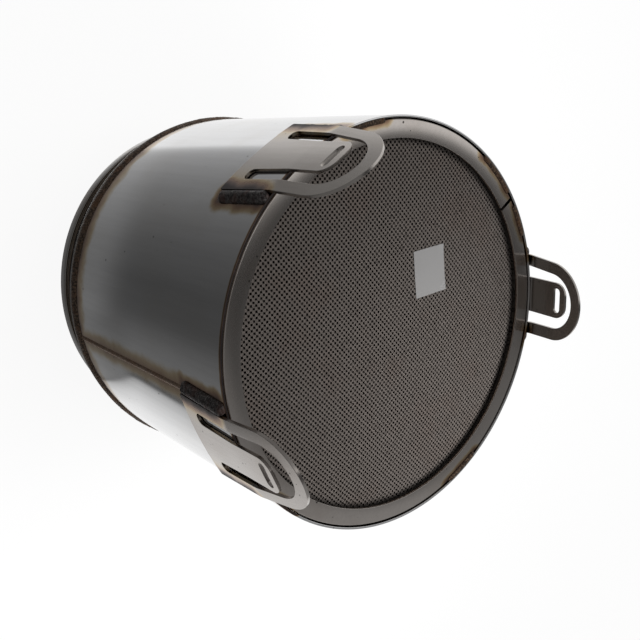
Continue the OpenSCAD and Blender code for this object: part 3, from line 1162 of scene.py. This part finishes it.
@dataclass
class PullTab:
    """A stamped, softly curved tab with a tongue, bent in past the shell's edge, and its two edge welds."""

    shop: Workshop
    number: int
    direction: float
    extra_lean: float
    thin_side: float
    half: float = 28.5
    taper: float = math.radians(3.5)
    bow_r: float = 270.0
    thick: float = 2.0
    back: float = TAB_BACK
    back_corner: float = 1.2
    end_y: float = 24.0
    slot_half: float = 20.0
    slot_y: float = -33.0
    slot_corner: float = 3.5
    root_corner: float = 4.0
    tongue_half: float = 13.0
    tongue_y: float = 34.5
    tongue_corner: float = 9.0
    hole_y: float = 26.5
    hole_half: float = 6.25
    hole_r: float = 2.75
    bend_y: float = 1.0
    bend_half: float = 2.0
    arm_lean: float = 7.0
    tongue_lean: float = 0.5
    tongue_slack: float = 0.4
    edge_r: float = 0.2
    sharp: float = 12.0
    merge: float = 0.002
    strip_w: float = 4.0
    seat_r: float = SHELL_R + 0.05
    weld_r: float = 4.6
    thin_r: float = 3.0
    weld_start: float = -22.0
    weld_end: float = 107.0
    weld_out: float = 1.5
    weld_sink: float = 0.5
    weld_short: float = 0.5

    def edge_x(self, half: float, y: float) -> float:
        """Returns where a tapered edge lies across, if it runs into an end of that half width."""
        return (half - (y - self.end_y) * math.sin(self.taper)) / math.cos(self.taper)

    def outlines(self) -> list[list[Point]]:
        """Draws the plate, the slot round the tongue and the tongue's hole.

        Returns:
            Three closed outlines, across the tab and from the shell's front edge.
        """
        s, t, middle = self.slot_half, self.tongue_half, (0.0, self.end_y)
        turn = math.degrees(self.taper)
        plate_end = arc(middle, self.half, turn, 180.0 - turn, 72)
        slot_end = arc(middle, s, turn, 180.0 - turn, 60)
        back_x, slot_x = self.edge_x(self.half, -self.back), self.edge_x(s, self.slot_y)
        root_x = t - self.slot_y * math.tan(self.taper)
        plate = rounded([(-back_x, -self.back, self.back_corner), (back_x, -self.back, self.back_corner),
                         (*plate_end[0], 0.0), (*plate_end[-1], 0.0)], 4)[:-1] + plate_end[1:]
        half_slot = [
            (t, self.tongue_y, self.tongue_corner), (t, 0.0, 0.0), (root_x, self.slot_y, self.root_corner),
            (slot_x, self.slot_y, self.slot_corner), (*slot_end[0], 0.0)]
        slot = rounded([(-x, y, r) for x, y, r in reversed(half_slot)] + half_slot, 8) + slot_end[1:-1]
        hole = arc((self.hole_half, self.hole_y), self.hole_r, -90.0, 90.0, 16)
        hole += arc((-self.hole_half, self.hole_y), self.hole_r, 90.0, 270.0, 16)
        return [plate, slot, hole]

    def radial(self, x: float, y: float, depth: float) -> float:
        """Finds how far out a point of the bent plate lies.

        Args:
            x: Place across the tab.
            y: Place from the shell's front edge.
            depth: Height over the plate's inner face.

        Returns:
            The distance from the axis along the tab's direction.
        """
        inner = abs(x) < (self.tongue_half + self.slot_half) / 2.0
        on_tongue = inner and y < self.tongue_y + self.tongue_slack
        lean = (self.tongue_lean if on_tongue else self.arm_lean) + self.extra_lean
        past = y - self.bend_y
        soft = max(past + self.bend_half, 0.0) ** 2 / (4.0 * self.bend_half)
        fall = math.tan(math.radians(lean)) * (past if past >= self.bend_half else soft)
        return self.seat_r - self.bow_r + math.sqrt((self.bow_r + depth - fall) ** 2 - x * x)

    def plate(self) -> None:
        """Stamps the plate as a filled curve with broken edges, bends it and stands it on the shell."""
        curve = bpy.data.curves.new("tab_outline", "CURVE")
        curve.dimensions, curve.fill_mode = "2D", "BOTH"
        curve.extrude = (self.thick / 2.0 - self.edge_r) * MM
        curve.bevel_depth, curve.offset, curve.bevel_resolution = self.edge_r * MM, -self.edge_r * MM, 2
        for outline in self.outlines():
            spline = curve.splines.new("POLY")
            spline.points.add(len(outline) - 1)
            spline.points.foreach_set("co", [c for x, y in outline for c in (x * MM, y * MM, 0.0, 1.0)])
            spline.use_cyclic_u = True
        drawing = link_object("tab_outline", curve)
        mesh = finished_mesh(drawing)
        bpy.data.objects.remove(drawing)
        bpy.data.curves.remove(curve)
        work = bmesh.new()
        work.from_mesh(mesh)
        bmesh.ops.remove_doubles(work, verts=work.verts, dist=self.merge * MM)
        cuts = [((0.0, self.bend_y + self.bend_half * k / 2.0, 0.0), (0.0, 1.0, 0.0)) for k in range(-2, 3)]
        cuts += [((self.strip_w * k, 0.0, 0.0), (1.0, 0.0, 0.0)) for k in range(-8, 9)]
        for at, normal in cuts:
            bmesh.ops.bisect_plane(work, geom=[*work.verts, *work.edges, *work.faces],
                                   plane_co=[c * MM for c in at], plane_no=normal)
        out, turn = axes_at(self.direction)
        for v in work.verts:
            x, y, t = (c / MM for c in v.co)
            v.co = (out * self.radial(x, y, self.thick / 2.0 + t) + turn * x + UP * (FRONT_Z + y)) * MM
        close_mesh(work, mesh, self.sharp)
        piece = link_object(f"tab_plate_{self.number}", mesh)
        self.shop.dress(piece, TAB_STEEL, Slot.TAB, f"pull_tab_{self.number}")

    def weld_place(self, side: float, s: float) -> Matrix:
        """Finds a place beside the plate's edge.

        Args:
            side: -1 for the left edge or 1 for the right one.
            s: Share of the way along the edge.

        Returns:
            The place, with the section's first axis away from the plate.
        """
        out, turn = axes_at(self.direction)
        y = -self.back + self.weld_short + (self.back - 2.0 * self.weld_short) * s
        x = self.edge_x(self.half, y) + self.weld_out
        at = out * (math.sqrt(SHELL_R ** 2 - x * x) - self.weld_sink) + turn * (side * x)
        return frame_at(at + UP * (FRONT_Z + y), turn * side, out, UP)

    def welds(self) -> None:
        """Lays a bead along each long edge of the plate, down to the shell."""
        for side, word in ((-1.0, "left"), (1.0, "right")):
            radius = self.thin_r if side == self.thin_side else self.weld_r
            section = fillet_section(radius, self.weld_start, self.weld_end)
            name = f"tab_{self.number}_{word}"
            self.shop.weld(Bead(
                f"{name}_bead", f"{name}_weld", TAB_WELD, section, partial(self.weld_place, side),
                self.back - 2.0 * self.weld_short, pitch=2.2, depth=0.14, lump=1.5,
                seed=40.0 + 4.0 * self.number + side, taper=2.5))

    def build(self) -> None:
        """Makes the plate and its welds."""
        self.plate()
        self.welds()


@dataclass
class Brick:
    """The wall-flow honeycomb with its mat, mesh seals and paper label."""

    shop: Workshop
    radius: float = 127.0
    rear_z: float = 44.3
    front_z: float = 247.5
    pitch: float = 1.796
    opening: float = 1.49
    turn: float = math.radians(-2.1)
    well: float = 7.0
    dish: float = 0.14
    field_r: float = 125.1
    rim_in: float = 1.9
    rim_drop: float = 0.03
    rim_deep: float = 9.0
    skin: float = 3.6
    mat: Sleeve = (127.05, 133.45, 48.3, 243.5)
    front_seal: Sleeve = (122.0, 127.0, 247.5, 250.7)
    rear_seal: Sleeve = (124.65, 127.0, 42.25, 44.3)
    pack_inner: float = 0.6
    pack_outer: float = 0.3
    label_size: Point = (28.0, 32.0)
    label_at: Point = (34.5, 32.5)
    label_turn: float = 4.0
    label_thick: float = 0.2
    label_gap: float = 0.01
    label_curl: float = 1.6
    label_flat: float = 0.62
    label_sharp: float = 40.0
    label_count: int = 12
    segments: int = 240

    def finish(self, end: End) -> CeramicFinish:
        """Returns the ceramic's finish at one end."""
        return CeramicFinish(f"{end.name.lower()}_ceramic", self.face_z(end), end.value)

    def face_z(self, end: End) -> float:
        """Returns the height of an end face."""
        return self.front_z if end is End.FRONT else self.rear_z

    def tile(self, end: End) -> Piece:
        """Makes one open cell with its share of the web, dished over the plugs at its corners.

        Args:
            end: The end face that it lies on.

        Returns:
            A piece on the axis at the face's height.
        """
        p, h, way, face = self.pitch, self.opening / 2.0, float(end.value), self.face_z(end)
        square = [(h, h), (-h, h), (-h, -h), (h, -h)]
        corners = [(p, 0.0), (0.0, p), (-p, 0.0), (0.0, -p)]
        points = [(x, y, face) for x, y in square]
        points += [(x, y, face - way * self.dish) for x, y in corners]
        points += [(x, y, face - way * self.well) for x, y in square]
        faces: list[tuple[int, ...]] = []
        for n in range(4):
            m = (n + 1) % 4
            faces += [(n, 4 + n, 4 + m), (n, 4 + m, m), (8 + n, n, m, 8 + m)]
        faces.append((8, 9, 10, 11))
        if end is End.REAR:
            faces = [tuple(reversed(f)) for f in faces]
        mesh = bpy.data.meshes.new("cell_tile")
        mesh.from_pydata([[MM * c for c in point] for point in points], [], faces)
        return link_object(f"brick_{end.name.lower()}_cells", mesh)

    def cell_field(self, end: End) -> None:
        """Lays the open cells of one end face: every other cell, and the other ones at the other end.

        Args:
            end: The end face.
        """
        step, finish = self.pitch * math.sqrt(2.0), self.finish(end)
        aside = 0.0 if end is End.FRONT else self.pitch * MM
        shift = (aside * math.cos(self.turn), aside * math.sin(self.turn), 0.0)
        rows = 2 * int(self.field_r * math.sqrt(2.0) / step) + 3
        piece = bake_nodes(self.tile(end), self.shop.cells, {
            "Rows": rows, "Pitch": step * MM, "Turn": self.turn, "Shift": shift,
            "Radius": self.field_r * MM, "Material": self.shop.material(finish)})
        self.shop.dress(piece, finish, Slot.BRICK, "filter_brick")

    def body(self) -> None:
        """Turns the brick's skin and the plain rim outside its cells."""
        z0, z1 = self.rear_z + self.rim_drop, self.front_z - self.rim_drop
        low, high = self.rear_z + self.rim_deep, self.front_z - self.rim_deep
        edge, inside = self.field_r - self.rim_in, self.radius - self.skin
        outline = [(self.radius, z0), (self.radius, z1), (edge, z1), (edge, high),
                   (inside, high), (inside, low), (edge, low), (edge, z0)]
        piece = lathe("brick_skin", outline, self.segments)
        self.shop.dress(piece, self.finish(End.FRONT), Slot.BRICK, "filter_brick")

    def packing(self) -> None:
        """Turns the support mat and the two wire mesh seals."""
        for name, node, (r0, r1, z0, z1), finish, slot in (
                ("mat_wrap", "support_mat", self.mat, MAT_FIBRE, Slot.MAT),
                ("front_seal_ring", "front_mesh_seal", self.front_seal, SEAL_WIRE, Slot.WIRE),
                ("rear_seal_ring", "rear_mesh_seal", self.rear_seal, SEAL_WIRE, Slot.WIRE)):
            outline = rounded([(r0, z0, self.pack_inner), (r1, z0, self.pack_outer),
                               (r1, z1, self.pack_outer), (r0, z1, self.pack_inner)], 4)
            self.shop.dress(lathe(name, outline, self.segments), finish, slot, node)

    def label(self) -> None:
        """Lays the blank label on the brick's face, with its corners a little lifted."""
        count, (x, y), z = self.label_count, self.label_at, self.front_z + self.label_gap
        side, top = count + 1, (count + 1) ** 2
        turn = Matrix.Rotation(math.radians(self.label_turn), 3, "Z")
        points, faces = [], []
        for n in range(2 * top):
            layer, (j, i) = n // top, divmod(n % top, side)
            u, v = i / count - 0.5, j / count - 0.5
            curl = self.label_curl * max(abs(u) + abs(v) - self.label_flat, 0.0) ** 2 * (1.0 + u)
            flat = turn @ Vector((u * self.label_size[0], v * self.label_size[1], 0.0))
            points.append((x + flat.x, y + flat.y, z + layer * self.label_thick + curl))
        for j in range(count):
            for a in range(j * side, j * side + count):
                faces.append((a, a + side, a + side + 1, a + 1))
                faces.append((top + a, top + a + 1, top + a + side + 1, top + a + side))
        rim = [*range(count), *[count + side * j for j in range(count)],
               *[side * count + i for i in range(count, 0, -1)], *[side * j for j in range(count, 0, -1)]]
        faces += [(a, b, top + b, top + a) for a, b in zip(rim, rim[1:] + rim[:1])]
        piece = solid_piece("label_sheet", points, faces, self.label_sharp)
        self.shop.dress(piece, LABEL_PAPER, Slot.LABEL, "paper_label")

    def build(self) -> None:
        """Makes all that the can holds."""
        self.body()
        for end in End:
            self.cell_field(end)
        self.packing()
        self.label()


# Brightness of the tent round the part, by bearing in degrees
LOW_TENT = (
    (0, 1.0), (66, 0.96), (69, 0.6), (73, 0.43), (80, 0.35), (98, 0.24), (114, 0.175), (129, 0.13),
    (144, 0.095), (170, 0.065), (190, 0.072), (215, 0.13))
UNDER_TENT = (
    (0, 0.065), (190, 0.072), (205, 0.115), (220, 0.14), (243, 0.2), (246.5, 0.18), (248, 0.05),
    (250, 0.07), (251.5, 0.5), (263, 0.74), (282, 0.95), (310, 1.0))
RIGHT_TENT = ((0, 0.95), (10, 0.9), (40, 0.5), (70, 0.3), (110, 0.2), (180, 0.16), (250, 0.2))
HIGH_TENT = RIGHT_TENT + (
    (300, 0.36), (322, 0.34), (328, 0.2), (337, 0.17), (343, 0.06), (347, 0.08), (350, 0.13), (354, 0.17),
    (356, 0.3), (358, 0.75), (360, 0.95))
TOP_TENT = RIGHT_TENT + (
    (300, 0.24), (320, 0.2), (327, 0.09), (334, 0.05), (342, 0.05), (348, 0.075), (353, 0.2), (356, 0.4),
    (358, 0.85), (360, 0.95))


@dataclass
class Studio:
    """Camera, pale floor and soft light."""

    shop: Workshop
    camera_at: Triple = (-339.69, 140.54, 609.64)
    right: Triple = (0.78420684, -0.03888938, 0.61927962)
    down: Triple = (-0.19095421, -0.96472449, 0.18122679)
    forward: Triple = (0.59038642, -0.26037334, -0.76396963)
    lens: float = 44.18
    sensor: float = 36.0
    floor_half: float = 6.0
    slant_z: float = 0.87
    slant_top: float = 0.019
    slant_shift: float = 0.0167
    slant_rate: float = 2.35

    def camera(self) -> None:
        """Stands the camera where the photograph was taken from."""
        data = bpy.data.cameras.new("camera")
        data.sensor_width, data.lens = self.sensor, self.lens
        data.clip_start, data.clip_end = 0.01, 50.0
        camera = link_object("camera", data)
        axes = Vector(self.right), -Vector(self.down), -Vector(self.forward)
        camera.matrix_world = frame_at(Vector(self.camera_at) * MM, *axes)
        bpy.context.scene.camera = camera

    def floor(self) -> None:
        """Lays a white floor that keeps a faint shadow and lets the steel show the light round it."""
        s = self.floor_half
        mesh = bpy.data.meshes.new("floor")
        mesh.from_pydata([(-s, -s, 0.0), (s, -s, 0.0), (s, s, 0.0), (-s, s, 0.0)], [], [(0, 1, 2, 3)])
        mesh.materials.append(self.shop.material(FLOOR_PAINT))
        floor = link_object("floor", mesh)
        floor.visible_diffuse = floor.visible_glossy = floor.visible_shadow = False

    def surroundings(self) -> None:
        """Sets the world: white to the eye, and a white tent with a dark front for all other rays."""
        world = bpy.data.worlds.new("studio")
        world.use_nodes = True
        bpy.context.scene.world = world
        g = Graph(world.node_tree)
        x, y, z = g.split(g.add("ShaderNodeTexCoord").outputs["Generated"])
        bearing = g.math("DIVIDE", g.math("ARCTAN2", y, x), 2.0 * math.pi)
        turn = g.math("FRACT", g.math("ADD", bearing, 1.0))

        def wall(place: Socket, stops: Sequence[Point]) -> Socket:
            """Returns the tent's brightness at a place round it."""
            return g.ramp(place, [(angle / 360.0, (light,) * 3) for angle, light in stops])

        lift = g.math("MINIMUM", g.math("ADD", z, self.slant_z), self.slant_top)
        lift = g.math("MULTIPLY", lift, self.slant_rate)
        slant = g.math("ADD", g.math("SUBTRACT", turn, self.slant_shift), lift, clamp=True)
        front = g.span(turn, 190.0 / 360.0, 215.0 / 360.0)
        low = g.mix(front, wall(turn, LOW_TENT), wall(slant, UNDER_TENT))
        low = g.mix(1.0, low, g.span(z, -0.865, -0.905, to_high=0.1), "ADD")
        high = g.mix(g.span(z, 0.68, 0.79), wall(turn, HIGH_TENT), wall(turn, TOP_TENT))
        tent = g.add("ShaderNodeBackground", {"Color": g.mix(g.span(z, -0.1, 0.15), low, high)})
        white = g.add("ShaderNodeBackground", {"Color": (1.0, 1.0, 1.0, 1.0)})
        seen = g.add("ShaderNodeLightPath").outputs["Is Camera Ray"]
        whole = g.add("ShaderNodeMixShader", {0: seen, 1: tent.outputs[0], 2: white.outputs[0]})
        g.add("ShaderNodeOutputWorld", {"Surface": whole.outputs[0]})

    def lamps(self) -> None:
        """Hangs a broad soft lamp over the front, and a small one close to the brick's lower right."""
        for name, size, energy, at, aim in (
                ("softbox", 1.2, 0.6, (0.55, 0.65, 1.35), (0.0, 0.0, 0.15)),
                ("bounce", 0.25, 1.05, (0.08, -0.10, 0.50), (0.06, -0.08, 0.25))):
            data = bpy.data.lights.new(name, "AREA")
            data.shape, data.size, data.energy = "DISK", size, energy
            lamp = link_object(name, data)
            lamp.location = at
            lamp.rotation_euler = (Vector(aim) - Vector(at)).to_track_quat("-Z", "Y").to_euler()
            lamp.visible_glossy = lamp.visible_camera = False

    def build(self) -> None:
        """Sets up the whole studio."""
        for step in (self.camera, self.floor, self.surroundings, self.lamps):
            step()
        bpy.context.scene.view_settings.view_transform = "Standard"


def main() -> None:
    """Builds every sub-assembly in order."""
    logging.basicConfig(level=logging.INFO, format="%(message)s")
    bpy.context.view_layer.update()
    shop = Workshop()
    tabs = [PullTab(shop, n, *tab) for n, tab in enumerate(zip(TAB_DIRECTIONS, TAB_LEANS, THIN_SIDES), 1)]
    for assembly in (Can(shop), FrontRing(shop), *tabs, Brick(shop), Studio(shop)):
        assembly.build()


if __name__ == "__main__":
    main()
